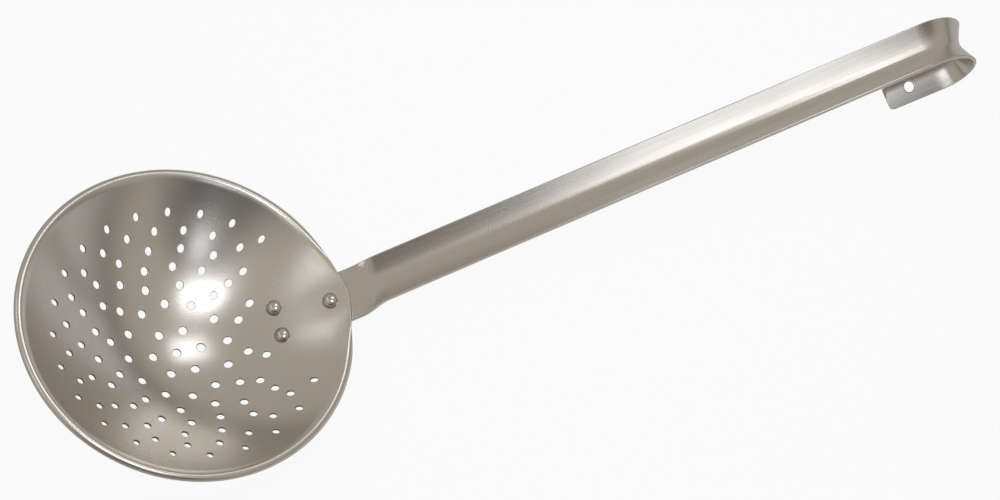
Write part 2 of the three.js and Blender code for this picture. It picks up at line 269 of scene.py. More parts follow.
def walk(runs, travel, x, z, slope):
    """Place and slope at a length along runs that each have a length and a turn.

    The last run goes on past its end.
    """
    for number, (run, turn) in enumerate(runs, 1):
        part = travel if number == len(runs) else min(travel, run)
        bend = turn * part / run
        straight = abs(bend) < STRAIGHT
        chord = part if straight else 2.0 * part / bend * math.sin(bend / 2.0)
        x += chord * math.cos(slope + bend / 2)
        z += chord * math.sin(slope + bend / 2)
        slope += bend
        travel -= part
        if travel <= 0.0:
            break
    return x, z, slope


def circle(radius, count):
    """Points round a circle, counter-clockwise from the X axis."""
    turns = [2 * math.pi * i / count for i in range(count)]
    return [(radius * math.cos(turn), radius * math.sin(turn)) for turn in turns]


def round_hole(x, y, diameter):
    """A round hole in a sheet laid out flat, as a clockwise loop."""
    return [(x + a, y - b) for a, b in circle(diameter / 2, HOLE_POINTS)]


def keep_clear(spots, holes, gap):
    """The spots that keep a gap to every hole."""
    spans = []
    for hole in holes:
        middle = sum((Vector(spot) for spot in hole), Vector((0.0, 0.0))) / len(hole)
        reach = max((Vector(spot) - middle).length for spot in hole)
        spans.append((middle, (reach + gap) ** 2))
    return [
        spot
        for spot in spots
        if all((Vector(spot) - middle).length_squared > span for middle, span in spans)
    ]


class BowlShape:
    """The inside of the bowl's sheet, with the seat pressed for the handle."""

    # Step for slopes and normals, and how near the centre the sheet is taken as level
    probe = 0.06 * MM
    level_reach = 10 * probe

    def __init__(self, scene):
        self.bowl = scene.skimmer_bowl
        self.handle = scene.skimmer_handle
        self.rivet = scene.skimmer_rivets
        rim = self.bowl.rim_radius
        self.outer_x = rim - self.rivet.outer_inset
        self.inner_x = rim - self.rivet.inner_inset
        self.tang_end_x = rim - self.handle.tang_reach
        climb = self.wall_height(self.outer_x) - self.wall_height(self.inner_x)
        self.seat_slope = math.atan2(climb, self.outer_x - self.inner_x)
        self.measure_sheet()
        self.solve_lip()

    def measure_sheet(self):
        """Lengths of sheet from the centre, for even steps of radius out to the wall's end."""
        self.radii = [self.bowl.wall_radius * i / LENGTH_STEPS for i in range(LENGTH_STEPS + 1)]
        self.lengths = [0.0]
        for near, far in zip(self.radii, self.radii[1:]):
            slope = self.slope((near + far) / 2)
            self.lengths.append(self.lengths[-1] + (far - near) / math.cos(slope))
        self.wall_length = self.lengths[-1]

    def solve_lip(self):
        """The lip leaves the wall where it can end at the rim's radius."""
        bowl = self.bowl
        self.edge_radius = bowl.rim_radius - bowl.rim_shave
        self.lip_runs = (
            (bowl.flare, -bowl.flare_turn),
            (bowl.curl_radius * bowl.curl_turn, -bowl.curl_turn),
        )
        self.lip_length = sum(run for run, _ in self.lip_runs)
        low, high = bowl.wall_radius / 2, bowl.wall_radius
        for _ in range(SOLVE_STEPS):
            self.lip_root = (low + high) / 2
            reach = self.lip_point(1.0, self.slope(self.lip_root), 1.0)[0]
            if self.lip_root + reach < self.edge_radius:
                low = self.lip_root
            else:
                high = self.lip_root
        self.lip_start = self.length_at(self.lip_root)
        self.sheet_length = self.lip_start + self.lip_length

    def lip_point(self, part, slope, curl):
        """Reach and rise at a part of the lip: straight while unrolled, then its bends."""
        travel = part * self.lip_length
        straight = min(travel, (1.0 - curl) * self.lip_length)
        reach, rise = straight * math.cos(slope), straight * math.sin(slope)
        return walk(self.lip_runs, travel - straight, reach, rise, slope)[:2]

    def wall_height(self, radius):
        """Height of the frame's wall before the seat is pressed."""
        q = radius / self.bowl.wall_radius
        k = self.bowl.straightness
        return self.bowl.wall_rise * q * q * (1 + k) / (1 + k * q) - self.bowl.depth

    def lift_share(self, radius):
        """0 up to where the wall steepens, and 1 at the rim."""
        start = self.bowl.lift_start
        return max(0.0, (radius - start) / (self.bowl.rim_radius - start))

    def slope(self, radius):
        """Slope of the wall before the seat is pressed."""
        bowl = self.bowl
        q = radius / bowl.wall_radius
        k = bowl.straightness
        steep = bowl.wall_rise / bowl.wall_radius * (1 + k) * q * (2 + k * q) / (1 + k * q) ** 2
        lift = 3 * bowl.rim_lift / (bowl.rim_radius - bowl.lift_start)
        return math.atan(steep + lift * self.lift_share(radius) ** 2)

    def length_at(self, radius):
        """Length of sheet from the centre out to a radius on the wall."""
        step = self.bowl.wall_radius / LENGTH_STEPS
        i = min(int(radius / step), LENGTH_STEPS - 1)
        return mix(self.lengths[i], self.lengths[i + 1], radius / step - i)

    def radius_at(self, travel):
        """Radius on the wall at a length of sheet from the centre."""
        i = min(max(bisect_left(self.lengths, travel), 1), LENGTH_STEPS)
        low, high = self.lengths[i - 1], self.lengths[i]
        return mix(self.radii[i - 1], self.radii[i], (travel - low) / (high - low))

    def seat_height(self, x):
        """Height of the seat's plane, which runs through the rivets."""
        return self.wall_height(self.inner_x) + math.tan(self.seat_slope) * (x - self.inner_x)

    def seat_share(self, x, y):
        """1 on the seat, fading to 0 beside it and before it."""
        flat = self.bowl.seat_flat
        sideways = 1.0 - smooth_share(abs(y), flat, flat + self.bowl.seat_fade)
        return sideways * self.seat_reach(x)

    def seat_reach(self, x):
        """0 before the seat, and 1 towards the rim."""
        rim = self.bowl.rim_radius
        return smooth_share(x, rim - self.bowl.seat_start, rim - self.bowl.seat_full)

    def seat_spread(self, y):
        """Square of the y whose wall height is used beside the seat, where no hump may form."""
        flat, fade = self.bowl.seat_flat, self.bowl.seat_fade
        past = min(max(abs(y) - flat, 0.0), fade)
        if past == fade:
            return y * y
        return (flat + fade) * (past / fade) ** 2 * (fade + 3 * flat - 2 * flat * past / fade)

    def flat_share(self, x, y):
        """1 where the lip is left flat over the tang, fading to 0 beside it."""
        if x <= 0.0:
            return 0.0
        fade = self.bowl.lip_fade_left if y > 0.0 else self.bowl.lip_fade_right
        return 1.0 - smooth_share(abs(y), 0.0, fade)

    def pressed_height(self, x, y):
        """Height of the wall with the seat pressed."""
        across = mix(y * y, self.seat_spread(y), self.seat_reach(x))
        drop = self.seat_height(x) - self.raised_height(abs(x))
        return self.raised_height(math.sqrt(x * x + across)) + drop * self.seat_share(x, y)

    def raised_height(self, radius):
        """Height of the wall with its steeper edge."""
        return self.wall_height(radius) + self.bowl.rim_lift * self.lift_share(radius) ** 3

    def pressed_slope(self, radius, turn):
        """Slope of the pressed wall, outwards from the centre."""
        x, y = radius * math.cos(turn), radius * math.sin(turn)
        near = 1.0 - self.probe / radius
        rise = self.pressed_height(x, y) - self.pressed_height(x * near, y * near)
        return math.atan2(rise, self.probe)

    def spot(self, travel, turn):
        """Point of the inside at a length of sheet from the centre, in one direction."""
        over = travel - self.lip_start
        radius = self.lip_root if over > 0.0 else self.radius_at(travel)
        x, y = radius * math.cos(turn), radius * math.sin(turn)
        height = self.pressed_height(x, y)
        if over > 0.0:
            start = self.pressed_slope(radius, turn)
            curl = 1.0 - self.flat_share(x, y)
            # Drawn in most where the lip is half unrolled
            drawn = 4.0 * self.bowl.rim_draw * curl * (1.0 - curl)
            full = self.lip_point(1.0, start, curl)[0]
            stretch = (self.edge_radius - drawn - radius) / full
            reach, rise = self.lip_point(over / self.lip_length, start, curl)
            radius += reach * stretch
            height += rise * stretch
        return Vector((radius * math.cos(turn), radius * math.sin(turn), height))

    def place(self, a, b):
        """Point and normal of the inside for a point of the sheet laid out flat."""
        travel, turn = math.hypot(a, b), math.atan2(b, a)
        point = self.spot(travel, turn)
        if travel < self.level_reach:
            return point, Vector((0.0, 0.0, 1.0))
        step, twist = self.probe, self.probe / travel
        along = self.spot(travel + step, turn) - self.spot(travel - step, turn)
        across = self.spot(travel, turn + twist) - self.spot(travel, turn - twist)
        return point, along.cross(across).normalized()

    def hole(self, x, y, along, around):
        """An oval hole at a place on the wall, as a loop on the sheet laid out flat."""
        centre = self.length_at(math.hypot(x, y))
        facing = math.atan2(y, x)
        loop = []
        for i in range(HOLE_POINTS):
            phase = -2 * math.pi * i / HOLE_POINTS
            travel = centre + along / 2 * math.cos(phase)
            turn = facing + around / 2 * math.sin(phase) / self.radius_at(travel)
            loop.append((travel * math.cos(turn), travel * math.sin(turn)))
        return loop

    def drain_holes(self):
        """Places of the drain holes: the middle one, then the rings from the rim inwards."""
        bowl = self.bowl
        ring_radii = []
        travel = self.wall_length - bowl.outer_ring_inset
        while travel > self.length_at(bowl.inner_ring_radius) + bowl.ring_pitch:
            ring_radii.append(self.radius_at(travel))
            travel -= bowl.ring_pitch
        ring_radii.append(bowl.inner_ring_radius)
        places = [(bowl.pattern_shift_x, bowl.pattern_shift_y)]
        for ring, radius in enumerate(ring_radii):
            per_sector = 2 * math.pi * radius / (RING_SECTORS * bowl.hole_spacing)
            count = RING_SECTORS * max(1, round(per_sector))
            crowding = RING_CROWDING[ring] / radius if ring < len(RING_CROWDING) else 0.0
            for i in range(count):
                even = RING_TURNS[ring] + 2 * math.pi * i / count
                turn = even + crowding * math.cos(even)
                x = radius * math.cos(turn) + bowl.pattern_shift_x
                y = radius * math.sin(turn) + bowl.pattern_shift_y
                places.append((x, y))
        bare_x = bowl.rim_radius + bowl.bare_outset
        return [
            (x, y)
            for x, y in places
            if math.hypot(x - bare_x, y - bowl.bare_side) > bowl.bare_radius
        ]

    def rivet_places(self):
        """Names and places of the rivets in the bowl's frame."""
        side = self.rivet.inner_spacing / 2
        spots = (
            ("rivet_rim", self.outer_x, 0.0),
            ("rivet_inner_left", self.inner_x, side),
            ("rivet_inner_right", self.inner_x, -side),
        )
        return [(name, Vector((x, y, self.seat_height(x)))) for name, x, y in spots]

    def on_wall(self, x, y):
        """The move that stands a piece square on the wall at a place."""
        travel, turn = self.length_at(math.hypot(x, y)), math.atan2(y, x)
        point, normal = self.place(travel * math.cos(turn), travel * math.sin(turn))
        return Matrix.Translation(point) @ normal.to_track_quat("Z", "Y").to_matrix().to_4x4()

    def seat_normal(self):
        """Direction of the rivets' heads."""
        return Vector((-math.sin(self.seat_slope), 0.0, math.cos(self.seat_slope)))

    def laid_down(self):
        """The turn and move that lay the skimmer where the frame's rivets are."""
        rim, left, right = (
            (low + high) / 2
            for low, high in (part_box(name) for name, _ in self.rivet_places())
        )
        across = rim - (left + right) / 2
        lean = self.seat_slope - math.atan2(across.z, across.x)
        turn = Matrix.Rotation(lean, 4, "Y")
        up = turn.to_3x3() @ self.seat_normal()
        corners = [vertex.co.copy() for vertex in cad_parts["rivet_rim"].data.vertices]
        apex = max(corners, key=up.dot)
        at = self.rivet_places()[0][1]
        head = at + self.seat_normal() * (self.rivet.fit_gap + self.rivet.head_height)
        return Matrix.Translation(apex - turn @ head) @ turn


class StripShape:
    """The upper face of the handle's strip, from the tang's end round to the end of the leg."""

    probe = 0.05 * MM

    def __init__(self, bowl):
        self.bowl = bowl
        self.sizes = bowl.handle
        sizes = self.sizes
        drop = bowl.bowl.sheet + bowl.rivet.fit_gap
        self.start_x = bowl.tang_end_x + drop * math.sin(bowl.seat_slope)
        self.start_z = bowl.seat_height(bowl.tang_end_x) - drop * math.cos(bowl.seat_slope)
        self.tang = (sizes.tang_reach + sizes.rim_clearance) / math.cos(bowl.seat_slope)
        self.hook_start = self.tang + sizes.run
        outer = sizes.hook_radius + sizes.strip
        self.leg_start = self.hook_start + outer * sizes.hook_turn
        self.total = self.leg_start + sizes.leg
        bend = sizes.crease / 2
        ease = sizes.hook_ease
        # An eased bend spreads a little, so that its arc is tighter to keep the hook's height
        outer -= ease ** 2 / (24.0 * outer)
        step = ease / EASE_STEPS
        eases = [(step, -step / outer * (i + 0.5) / EASE_STEPS) for i in range(EASE_STEPS)]
        self.runs = (
            (self.tang - bend, 0.0),
            (sizes.crease, sizes.rise - bowl.seat_slope),
            (sizes.run - bend - ease / 2, 0.0),
            *eases,
            (outer * sizes.hook_turn - ease, ease / outer - sizes.hook_turn),
            *reversed(eases),
            (sizes.leg - ease / 2, 0.0),
        )

    def line(self, travel):
        """Middle of the strip at a length from the tang's end, and its slope there."""
        return walk(self.runs, travel, self.start_x, self.start_z, self.bowl.seat_slope)

    def section(self, travel):
        """Half width and depth of the channel at a length from the tang's end."""
        sizes = self.sizes
        run = min(max(travel - self.tang, 0.0), sizes.run)
        along = run / sizes.run
        formed = smooth_share(run, 0.0, sizes.channel_fade)
        half = mix(sizes.channel_width, sizes.hook_width, along) / 2
        depth = mix(sizes.channel_depth, sizes.hook_depth, along)
        return mix(sizes.tang_width / 2, half, formed), depth * formed

    def spot(self, travel, side):
        """Point of the upper face at a length from the tang's end and a distance aside."""
        x, z, slope = self.line(travel)
        half, depth = self.section(travel)
        lift = depth * self.channel(side / half)
        if travel < self.tang:
            lift += self.fit(travel, side)
        return Vector((x - lift * math.sin(slope), side, z + lift * math.cos(slope)))

    def channel(self, part):
        """Height of the channel's straight sides and rounded middle, with 1 at the edge."""
        soft = self.sizes.channel_rounding
        return (math.hypot(part, soft) - soft) / (math.hypot(1.0, soft) - soft)

    def fit(self, travel, side):
        """How far the tang is bent off its plane to lie against the bowl."""
        bowl = self.bowl
        x = bowl.tang_end_x + travel * math.cos(bowl.seat_slope)
        off = (bowl.pressed_height(x, side) - bowl.seat_height(x)) * math.cos(bowl.seat_slope)
        return off * (1.0 - smooth_share(travel, self.tang - self.sizes.crease, self.tang))

    def place(self, travel, side):
        """Point and normal of the upper face."""
        step = self.probe
        along = self.spot(travel + step, side) - self.spot(travel - step, side)
        across = self.spot(travel, side + step) - self.spot(travel, side - step)
        return self.spot(travel, side), along.cross(across).normalized()

    def steps(self):
        """Lengths at which the strip is cut into rows, close together where it bends."""
        sizes = self.sizes
        fade_end = self.tang + sizes.channel_fade
        # Start, end and number of rows
        spans = (
            (0.0, sizes.tang_corner, 4),
            (sizes.tang_corner, self.tang - sizes.crease / 2, 12),
            (self.tang - sizes.crease / 2, fade_end, 20),
            (fade_end, self.hook_start, 80),
            (self.hook_start, self.leg_start, 56),
            (self.leg_start, self.total - sizes.leg_corner, 18),
            (self.total - sizes.leg_corner, self.total, 4),
        )
        found = [0.0]
        for low, high, count in spans:
            found += [mix(low, high, i / count) for i in range(1, count + 1)]
        return found

    def half_width(self, travel):
        """Half width of the strip's outline, with its four corners rounded."""
        half = self.section(travel)[0]
        for corner, gap in (
            (self.sizes.tang_corner, travel),
            (self.sizes.leg_corner, self.total - travel),
        ):
            if gap < corner:
                gap = max(gap, 0.0)
                half -= corner - math.sqrt(corner ** 2 - (corner - gap) ** 2)
        return half


class Sheet:
    """A closed sheet with rounded edges and holes, pressed from a flat outline."""

    edge_steps = 3

    def __init__(self, place, thickness, edge_round):
        self.place = place
        self.thickness = thickness
        self.edge_round = edge_round
        self.points = []
        self.normals = []
        self.wear = []
        self.bored = []
        self.faces = []

    def add(self, point, normal, wear, bored=0.0):
        """Adds one corner of the mesh and gives its number."""
        self.points.append(point)
        self.normals.append(normal)
        self.wear.append(wear)
        self.bored.append(bored)
        return len(self.points) - 1

    def press(self, loops, inner):
        """Fills the outline, loops[0], round the holes, and closes it along every edge."""
        flat = [Vector(spot) for loop in loops for spot in loop]
        edges = []
        for loop in loops:
            first = len(edges)
            count = len(loop)
            edges += [(first + i, first + (i + 1) % count) for i in range(count)]
        flat += [Vector(spot) for spot in inner]
        spots, _, faces, origins, _, _ = delaunay_2d_cdt(
            flat, edges, [], TRIANGLES_INSIDE, SAME_POINT
        )
        upper, lower = [], []
        for spot in spots:
            point, normal = self.place(spot.x, spot.y)
            upper.append(self.add(point, normal, 0.0))
            lower.append(self.add(point - normal * self.thickness, -normal, 0.0))
        found = {origin: i for i, group in enumerate(origins) for origin in group}
        rings, first = [], 0
        for loop in loops:
            rings.append([found[first + i] for i in range(len(loop))])
            first += len(loop)
        outline, *holes = rings
        hole_of = {corner: number for number, hole in enumerate(holes) for corner in hole}
        for face in faces:
            # A triangle with all its corners on one hole would close it
            touched = {hole_of.get(i) for i in face}
            if len(touched) > 1 or None in touched:
                self.faces.append([upper[i] for i in face])
                self.faces.append([lower[i] for i in reversed(face)])
        for ring in rings:
            self.close([upper[i] for i in ring], [lower[i] for i in ring], ring is not outline)

    def close(self, upper, lower, bored):
        """Rounds the sheet over along one loop, from its upper face to its lower one."""
        count = len(upper)
        outward = []
        for i, corner in enumerate(upper):
            ahead = self.points[upper[(i + 1) % count]] - self.points[corner]
            behind = self.points[corner] - self.points[upper[i - 1]]
            heading = ahead.normalized() + behind.normalized()
            outward.append(heading.cross(self.normals[corner]).normalized())
        rows = [upper]
        for side in (1.0, -1.0):
            for step in range(1, self.edge_steps + 1):
                order = step if side > 0 else self.edge_steps + 1 - step
                turn = math.pi / 2 * order / self.edge_steps
                row = []
                for corner, out in zip(upper, outward):
                    up = self.normals[corner]
                    sunk = self.edge_round * (1 - math.cos(turn))
                    depth = sunk if side > 0 else self.thickness - sunk
                    point = self.points[corner] - up * depth
                    point = point + out * (self.edge_round * math.sin(turn))
                    normal = up * (side * math.cos(turn)) + out * math.sin(turn)
                    row.append(self.add(point, normal, 1.0, math.sin(turn) if bored else 0.0))
                rows.append(row)
        rows.append(lower)
        for above, below in zip(rows, rows[1:]):
            for i in range(count):
                j = (i + 1) % count
                self.faces.append([above[i], below[i], below[j], above[j]])

    def build(self, name, matrix):
        """Makes the object in its place, with its true normals and the wear along its edges."""
        mesh = bpy.data.meshes.new(name)
        mesh.from_pydata([matrix @ point for point in self.points], [], self.faces)
        mesh.shade_smooth()
        for title, values in (("edge_wear", self.wear), ("bored", self.bored)):
            mesh.attributes.new(title, "FLOAT", "POINT").data.foreach_set("value", values)
        turn = matrix.to_3x3()
        mesh.normals_split_custom_set_from_vertices([turn @ normal for normal in self.normals])
        mesh.validate(clean_customdata=False)
        return add_object(name, mesh)


def add_object(name, data):
    """A new object in the scene."""
    made = bpy.data.objects.new(name, data)
    bpy.context.scene.collection.objects.link(made)
    return made


def seat_piece(made, node, material):
    """Gives a piece its steel and its body, and hides the CAD node that it stands for."""
    made.data.materials.append(material)
    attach(made, BODY)
    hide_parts(node)


def math_operator(operation):
    """Both methods of an operator: for a signal before it, and for one after it."""
    return (
        lambda self, other: self.math(operation, self, other),
        lambda self, other: self.math(operation, other, self),
    )


class Signal:
    """A socket of a material's nodes. Python's operators on it add Math nodes."""

    def __init__(self, shade, socket):
        self.shade = shade
        self.socket = socket

    def out(self, name):
        """Another output of the same node."""
        return Signal(self.shade, self.socket.node.outputs[name])

    def math(self, operation, first, second):
        """The result of a Math node on two values."""
        sockets = {0: first, 1: second}
        return self.shade.node("ShaderNodeMath", {"operation": operation}, sockets)

    __add__, __radd__ = math_operator("ADD")
    __sub__, __rsub__ = math_operator("SUBTRACT")
    __mul__, __rmul__ = math_operator("MULTIPLY")
    __pow__, __rpow__ = math_operator("POWER")


class Shade:
    """A node tree that is filled by expressions."""

    def __init__(self, tree):
        self.tree = tree
        tree.nodes.clear()

    def node(self, kind, settings=None, sockets=None):
        """Makes a node: its settings first, then the values and links of its sockets."""
        made = self.tree.nodes.new(kind)
        for name, value in (settings or {}).items():
            setattr(made, name, value)
        for key, value in (sockets or {}).items():
            if isinstance(value, Signal):
                self.tree.links.new(value.socket, made.inputs[key])
            else:
                made.inputs[key].default_value = value
        return Signal(self, made.outputs[0]) if made.outputs else made

    def noise(self, vector, scale, detail, rough=0.5):
        """A value that wanders between 0 and 1."""
        sockets = {"Vector": vector, "Scale": scale, "Detail": detail, "Roughness": rough}
        return self.node("ShaderNodeTexNoise", {}, sockets)

    def stretched_noise(self, x, y, z, detail):
        """Noise over coordinates that are each stretched in their own way."""
        place = self.node("ShaderNodeCombineXYZ", {}, {"X": x, "Y": y, "Z": z})
        return self.noise(place, 1.0, detail)

    def axes(self, place):
        """The three coordinates of a place."""
        split = self.node("ShaderNodeSeparateXYZ", {}, {0: place})
        return split.out("X"), split.out("Y"), split.out("Z")

    def attribute(self, name):
        """A value that the mesh carries at its corners."""
        return self.node("ShaderNodeAttribute", {"attribute_name": name}).out("Fac")

    def blend(self, part, first, second):
        """A colour between two colours. Their sockets on the Mix node are 6 and 7."""
        sockets = {0: part, 6: first, 7: second}
        return self.node("ShaderNodeMix", {"data_type": "RGBA"}, sockets).out(2)


def opaque(tone):
    """A colour property with full alpha."""
    return (*tone, 1.0)


def new_material(name):
    """A material and the Shade that fills it."""
    material = bpy.data.materials.new(name)
    material.use_nodes = True
    return material, Shade(material.node_tree)


def bowl_place(shade, laid):
    """Places in the bowl's own frame, before the skimmer was laid down."""
    return shade.node(
        "ShaderNodeMapping",
        {"vector_type": "TEXTURE"},
        {
            "Vector": shade.node("ShaderNodeTexCoord").out("Object"),
            "Location": laid.to_translation(),
            "Rotation": laid.to_euler(),
        },
    )


def steel_surface(shade, tone, roughness, relief, strength, depth):
    """Closes a steel material: metal all over, with a relief of some strength and depth."""
    bump = {"Strength": strength, "Distance": depth, "Height": relief}
    sockets = {
        "Base Color": tone,
        "Metallic": 1.0,
        "Roughness": roughness,
        "Normal": shade.node("ShaderNodeBump", {}, bump),
    }
    surface = shade.node("ShaderNodeBsdfPrincipled", {}, sockets)
    shade.node("ShaderNodeOutputMaterial", {}, {"Surface": surface})


def sheet_surface(shade, finish, dull, roughness, **relief):
    """Closes the material of a sheet, with its worn edges and painted shade on the walls of its
    holes.
    """
    wear, bored = shade.attribute("edge_wear"), shade.attribute("bored")
    tone = shade.blend(dull, opaque(finish.steel), opaque(finish.steel_dull))
    # Painted shade: the walls of the holes turn to the dark bore colour
    tone = shade.blend(bored * bored, tone, opaque(finish.bore))
    roughness = roughness - wear * WORN_SHINE + bored * BORE_ROUGHNESS
    steel_surface(shade, tone, roughness, **relief)


def bowl_steel(finish, laid):
    """Satin steel with a fine grain that runs round the bowl, and cloudy patches from use."""
    material, shade = new_material("bowl_satin_steel")
    place = bowl_place(shade, laid)
    x, y, z = shade.axes(place)
    outwards = (x * x + y * y) ** 0.5 * BOWL_GRAIN_ACROSS
    around = x * BOWL_GRAIN_ROUND + z * BOWL_GRAIN_UP
    grain = shade.stretched_noise(outwards, around, y * BOWL_GRAIN_ROUND, detail=2.0)
    clouds = shade.noise(place, BOWL_CLOUDS, detail=3.0, rough=0.55)
    dull = (clouds - CLOUD_START) * BOWL_CLOUD_DULL + (grain - NOISE_MIDDLE) * BOWL_GRAIN_DULL
    cloudy = (clouds - NOISE_MIDDLE) * BOWL_CLOUD_ROUGH
    rough = cloudy + (grain - NOISE_MIDDLE) * BOWL_GRAIN_ROUGH + finish.bowl_roughness
    sheet_surface(shade, finish, dull, rough, relief=grain, strength=0.2, depth=0.003 * MM)
    return material


def handle_steel(finish, laid):
    """Brushed steel whose grain runs along the handle, with a few deeper draw lines."""
    material, shade = new_material("handle_brushed_steel")
    place = bowl_place(shade, laid)
    x, y, z = shade.axes(place)
    along = x + z
    grain = shade.stretched_noise(
        along * HANDLE_GRAIN_ALONG, y * HANDLE_GRAIN_ACROSS, z * HANDLE_GRAIN_ALONG, detail=2.0
    )
    lines = shade.stretched_noise(
        along * DRAW_LINES_ALONG, y * DRAW_LINES_ACROSS, z * DRAW_LINES_UP, detail=1.0
    )
    clouds = shade.noise(place, HANDLE_CLOUDS, detail=3.0, rough=0.55)
    brushed = grain - NOISE_MIDDLE
    drawn = (lines - NOISE_MIDDLE) * DRAW_LINE_DULL
    dull = clouds - CLOUD_START + drawn + brushed * HANDLE_GRAIN_DULL
    cloudy = (clouds - NOISE_MIDDLE) * HANDLE_CLOUD_ROUGH
    rough = cloudy + brushed * HANDLE_GRAIN_ROUGH + finish.handle_roughness
    relief = grain * GRAIN_RELIEF + lines * DRAW_LINE_RELIEF
    sheet_surface(shade, finish, dull, rough, relief=relief, strength=0.7, depth=0.014 * MM)
    return material


def rivet_steel(finish):
    """Polished steel with faint hammer marks and a duller film here and there."""
    material, shade = new_material("rivet_polished_steel")
    place = shade.node("ShaderNodeTexCoord").out("Object")
    marks = shade.noise(place, RIVET_MARKS, detail=2.0)
    film = shade.noise(place, RIVET_FILM, detail=3.0, rough=0.6)
    tone = shade.blend(film, opaque(finish.rivet), opaque(finish.steel_dull))
    rough = (film - NOISE_MIDDLE) * RIVET_FILM_ROUGH + finish.rivet_roughness
    steel_surface(shade, tone, rough, relief=marks, strength=0.3, depth=0.02 * MM)
    return material


class SKIMMER_OT_bowl(bpy.types.Operator):
    """Make the perforated bowl with its rolled lip"""

    bl_idname = "skimmer.bowl"
    bl_label = "Bowl"

    lip_rows = 20
    wall_step = 1.9 * MM
    fewest_round = 6
    hole_clear = 0.9 * MM

    def execute(self, context):
        shape = BowlShape(context.scene)
        bowl = shape.bowl
        sheet = Sheet(shape.place, bowl.sheet, bowl.edge_round)
        edge = shape.sheet_length - bowl.edge_round
        holes = self.holes(shape)
        inner = []
        for i in range(self.lip_rows):
            inner += circle(mix(shape.lip_start, edge, i / self.lip_rows), BOWL_SECTORS)
        inner += keep_clear(self.wall_points(shape), holes, self.hole_clear)
        sheet.press([circle(edge, BOWL_SECTORS), *holes], inner)
        laid = shape.laid_down()
        made = sheet.build("bowl_sheet", laid)
        steel = bowl_steel(context.scene.skimmer_finish, laid)
        seat_piece(made, "bowl", steel)
        return {"FINISHED"}

    @staticmethod
    def holes(shape):
        """Loops of the drain holes, which narrow towards the rim, and of the rivets' holes."""
        bowl = shape.bowl
        edges = 2 * bowl.edge_round
        bore = bowl.hole_diameter + edges
        middle, *rings = shape.drain_holes()
        loops = [round_hole(*middle, bore)]
        for x, y in rings:
            outwards = math.hypot(x, y) / bowl.rim_radius
            narrowed = 1.0 - bowl.hole_narrowing * outwards ** bowl.narrowing_power
            loops.append(shape.hole(x, y, bore, bowl.hole_diameter * narrowed + edges))
        rivet_bore = shape.rivet.shank_diameter + edges + BORE_PLAY
        for _, at in shape.rivet_places():
            loops.append(shape.hole(at.x, at.y, rivet_bore, rivet_bore))
        return loops

    def wall_points(self, shape):
        """Points all over the wall, in rings of even steps."""
        rows = math.ceil(shape.lip_start / self.wall_step)
        found = [(0.0, 0.0)]
        for row in range(1, rows):
            travel = shape.lip_start * row / rows
            count = max(self.fewest_round, round(2 * math.pi * travel / self.wall_step))
            found += circle(travel, count)
        return found


class SKIMMER_OT_handle(bpy.types.Operator):
    """Make the channel handle with its tang and its hook"""

    bl_idname = "skimmer.handle"
    bl_label = "Handle"

    columns = 18
    end_rows = 2
    closest = 0.02 * MM
    hole_clear = 0.7 * MM

    def execute(self, context):
        bowl = BowlShape(context.scene)
        shape = StripShape(bowl)
        sizes = shape.sizes
        edge = sizes.edge_round
        sheet = Sheet(shape.place, sizes.strip, edge)
        rows = shape.steps()
        inset = [min(max(row, edge), shape.total - edge) for row in rows]
        lower = [(travel, edge - shape.half_width(row)) for travel, row in zip(inset, rows)]
        upper = [(travel, -side) for travel, side in reversed(lower)]
        loops = [self.spaced(lower + upper)]
        bore = bowl.rivet.shank_diameter + 2 * edge + BORE_PLAY
        for _, at in bowl.rivet_places():
            travel = (at.x - bowl.tang_end_x) / math.cos(bowl.seat_slope)
            loops.append(round_hole(travel, at.y, bore))
        hang = sizes.hang_hole_diameter + 2 * edge
        hang_at = shape.total - sizes.hang_hole_inset
        loops.append(round_hole(hang_at, sizes.hang_hole_offset, hang))
        inner = []
        for row in rows[self.end_rows:-self.end_rows]:
            half = shape.half_width(row) - edge
            inner += [(row, half * (2 * i / self.columns - 1)) for i in range(1, self.columns)]
        sheet.press(loops, keep_clear(inner, loops[1:], self.hole_clear))
        laid = bowl.laid_down()
        made = sheet.build("handle_strip", laid)
        steel = handle_steel(context.scene.skimmer_finish, laid)
        seat_piece(made, "handle", steel)
        return {"FINISHED"}

    def spaced(self, loop):
        """The loop without points that fall on each other."""
        kept = [loop[0]]
        for spot in loop[1:]:
            if math.dist(spot, kept[-1]) > self.closest:
                kept.append(spot)
        if math.dist(kept[0], kept[-1]) < self.closest:
            kept.pop()
        return kept


